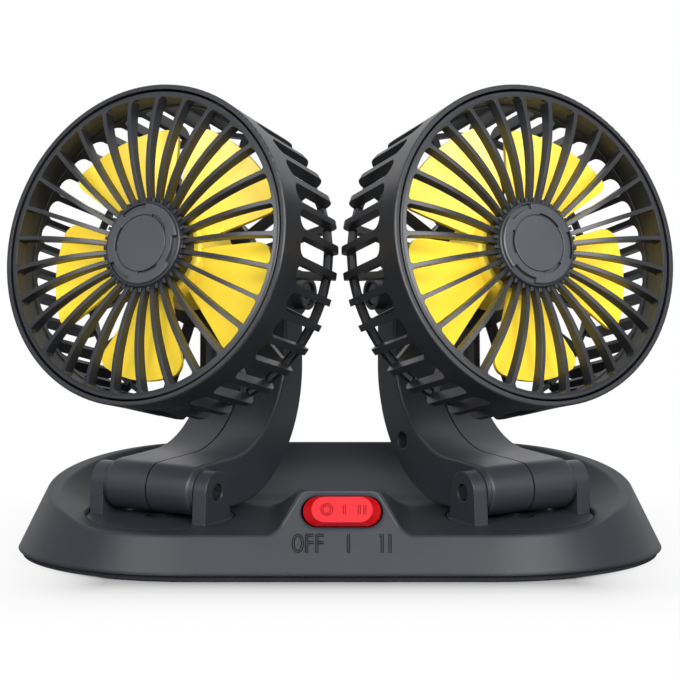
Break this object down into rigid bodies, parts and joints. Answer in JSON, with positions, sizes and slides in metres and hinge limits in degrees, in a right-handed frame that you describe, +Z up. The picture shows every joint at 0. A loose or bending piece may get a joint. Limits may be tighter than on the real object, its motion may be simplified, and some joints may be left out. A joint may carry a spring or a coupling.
{
  "type": "dual head car fan",
  "caption": "Low dashboard fan: two round caged heads on bent tilting arms over swivel discs, on one wide base with a red rocker switch.",
  "frame": {"origin": "centre of the base's footprint on the floor, at the underside of the non-slip mat", "axes": "+X along the base to the viewer's right, -Y to the front where the switch is, +Z up"},
  "size_m": [0.2382, 0.116, 0.1677],
  "materials": {
    "dark_plastic": "fine matte",
    "yellow_plastic": "glossy",
    "red_plastic": "glossy",
    "rubber": "matte",
    "steel": "satin",
    "board": "satin"
  },
  "bodies": {
    "base": {"base_shell": "dark_plastic", "base_plate": "dark_plastic", "foot_mat": "rubber", "base_screws": "steel", "speed_board": "board", "cable_grommet": "rubber", "switch_body": "dark_plastic"},
    "rocker": {"rocker_cap": "red_plastic"},
    "left_turntable": {"left_turntable": "dark_plastic", "left_turntable_retainer": "steel", "left_retainer_screws": "steel", "left_hinge_bolt": "steel", "left_hinge_nut": "steel"},
    "left_arm": {"left_arm_right_half": "dark_plastic", "left_arm_left_half": "dark_plastic", "left_arm_screws": "steel", "left_tilt_bolt": "steel", "left_tilt_nut": "steel"},
    "left_head": {"left_rear_cage": "dark_plastic", "left_front_grille": "dark_plastic", "left_grille_cap": "dark_plastic", "left_motor_pod": "dark_plastic", "left_pod_screws": "steel", "left_motor": "steel"},
    "left_fan": {"left_impeller": "yellow_plastic", "left_motor_shaft": "steel"},
    "right_turntable": {"right_turntable": "dark_plastic", "right_turntable_retainer": "steel", "right_retainer_screws": "steel", "right_hinge_bolt": "steel", "right_hinge_nut": "steel"},
    "right_arm": {"right_arm_right_half": "dark_plastic", "right_arm_left_half": "dark_plastic", "right_arm_screws": "steel", "right_tilt_bolt": "steel", "right_tilt_nut": "steel"},
    "right_head": {"right_rear_cage": "dark_plastic", "right_front_grille": "dark_plastic", "right_grille_cap": "dark_plastic", "right_motor_pod": "dark_plastic", "right_pod_screws": "steel", "right_motor": "steel"},
    "right_fan": {"right_impeller": "yellow_plastic", "right_motor_shaft": "steel"}
  },
  "joints": [
    {"name": "rocker_press", "type": "hinge", "parent": "base", "child": "rocker", "pos_m": [0.0007, -0.04087, 0.02144], "axis": [0, 0.4472, 0.8944], "range_deg": [-5, 5]},
    {"name": "left_swivel", "type": "hinge", "parent": "base", "child": "left_turntable", "pos_m": [-0.064, -0.0122, 0.0155], "axis": [0, 0, 1], "range_deg": [0, 12]},
    {"name": "left_arm_fold", "type": "hinge", "parent": "left_turntable", "child": "left_arm", "pos_m": [-0.064, -0.0122, 0.0259], "axis": [0.8669, -0.4985, 0], "range_deg": [0, 30]},
    {"name": "left_head_tilt", "type": "hinge", "parent": "left_arm", "child": "left_head", "pos_m": [-0.0306, 0.04588, 0.0893], "axis": [0.8669, -0.4985, 0], "range_deg": [-2, 12]},
    {"name": "left_fan_spin", "type": "hinge", "parent": "left_head", "child": "left_fan", "pos_m": [-0.0687, -0.02037, 0.11296], "axis": [-0.4762, -0.8281, 0.2957], "continuous": true},
    {"name": "right_swivel", "type": "hinge", "parent": "base", "child": "right_turntable", "pos_m": [0.064, -0.0122, 0.0155], "axis": [0, 0, 1], "range_deg": [-12, 0]},
    {"name": "right_arm_fold", "type": "hinge", "parent": "right_turntable", "child": "right_arm", "pos_m": [0.064, -0.0122, 0.0259], "axis": [0.8669, 0.4985, 0], "range_deg": [0, 30]},
    {"name": "right_head_tilt", "type": "hinge", "parent": "right_arm", "child": "right_head", "pos_m": [0.0306, 0.04588, 0.0893], "axis": [0.8669, 0.4985, 0], "range_deg": [-2, 12]},
    {"name": "right_fan_spin", "type": "hinge", "parent": "right_head", "child": "right_fan", "pos_m": [0.0687, -0.02037, 0.11296], "axis": [0.4762, -0.8281, 0.2957], "continuous": true}
  ]
}
